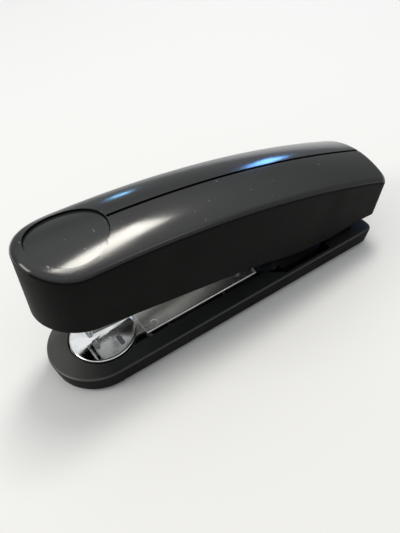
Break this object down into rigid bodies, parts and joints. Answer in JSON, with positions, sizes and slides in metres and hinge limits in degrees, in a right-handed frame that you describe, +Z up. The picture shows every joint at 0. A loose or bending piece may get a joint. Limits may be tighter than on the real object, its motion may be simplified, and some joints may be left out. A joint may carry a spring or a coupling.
{
  "type": "desk stapler",
  "caption": "Full-strip desk stapler with an arched black head, round thumb recess, sprung magazine on a rear hinge and a turning anvil in a long rounded base.",
  "frame": {"origin": "middle of the stapler's rest footprint box, on the surface that the feet stand on", "axes": "+X along the stapler from the nose to the hinge end, +Y across it, +Z up"},
  "size_m": [0.1571, 0.0404, 0.0666],
  "materials": {
    "head_plastic": "satin-gloss black moulding with a fine grain",
    "pad_plastic": "satin-gloss black inlay, lightly rubbed",
    "base_plastic": "satin black moulding",
    "plated_strip": "bright nickel plate",
    "anvil_chrome": "mirror chrome with fine scratches",
    "plain_steel": "plain pressed steel",
    "spring_steel": "tempered spring steel",
    "painted_steel": "black paint",
    "pusher_plastic": "dark grey moulding",
    "rubber": "matt black rubber"
  },
  "bodies": {
    "base": {"base_shell": "base_plastic", "base_plate": "plated_strip", "hinge_bracket": "painted_steel", "bracket_rivet_left": "plain_steel", "bracket_rivet_right": "plain_steel", "base_screw_1": "plain_steel", "base_screw_2": "plain_steel", "foot_front": "rubber", "foot_rear": "rubber", "lift_spring": "spring_steel", "lift_spring_rivet": "plain_steel", "hinge_pin": "plain_steel", "pin_clip_left": "spring_steel", "pin_clip_right": "spring_steel", "anvil_spring": "spring_steel"},
    "anvil_lift": {"anvil_washer": "spring_steel"},
    "anvil": {"anvil_plate": "anvil_chrome", "anvil_stem": "plain_steel"},
    "magazine": {"magazine_channel": "plated_strip", "staple_rail": "plain_steel", "rail_rivet": "plain_steel", "nose_plate": "plated_strip", "rod_anchor": "plain_steel", "spring_rod": "plain_steel", "pusher_spring": "spring_steel"},
    "pusher": {"pusher": "pusher_plastic"},
    "head": {"head_cover": "head_plastic", "thumb_pad": "pad_plastic", "press_arm": "plain_steel", "driver_blade": "plain_steel", "driver_rivet_left": "plain_steel", "driver_rivet_right": "plain_steel", "cover_screw_1": "plain_steel", "cover_screw_2": "plain_steel", "return_spring": "spring_steel", "return_spring_rivet": "plain_steel"}
  },
  "joints": [
    {"name": "magazine_hinge", "type": "hinge", "parent": "base", "child": "magazine", "pos_m": [0.06655, 0, 0.02], "axis": [0, 1, 0], "range_deg": [-4.8, 0], "stiffness_Nm_per_rad": 3, "springref_deg": 6.88, "deforming": ["lift_spring"]},
    {"name": "head_hinge", "type": "hinge", "parent": "magazine", "child": "head", "pos_m": [0.06655, 0, 0.02], "axis": [0, 1, 0], "range_deg": [-5.6, 66], "stiffness_Nm_per_rad": 0.8, "springref_deg": 3.44, "deforming": ["return_spring"]},
    {"name": "pusher_slide", "type": "slide", "parent": "magazine", "child": "pusher", "axis": [0.9965, 0, -0.0837], "range_m": [0, 0.085], "stiffness_N_per_m": 20, "springref_m": -0.05, "deforming": ["pusher_spring"]},
    {"name": "anvil_lift_slide", "type": "slide", "parent": "base", "child": "anvil_lift", "axis": [0, 0, 1], "range_m": [0, 0.0012], "stiffness_N_per_m": 1500, "springref_m": -0.001, "deforming": ["anvil_spring"]},
    {"name": "anvil_turn", "type": "hinge", "parent": "anvil_lift", "child": "anvil", "pos_m": [-0.05575, 0, 0.008], "axis": [0, 0, 1], "range_deg": [0, 180]}
  ]
}
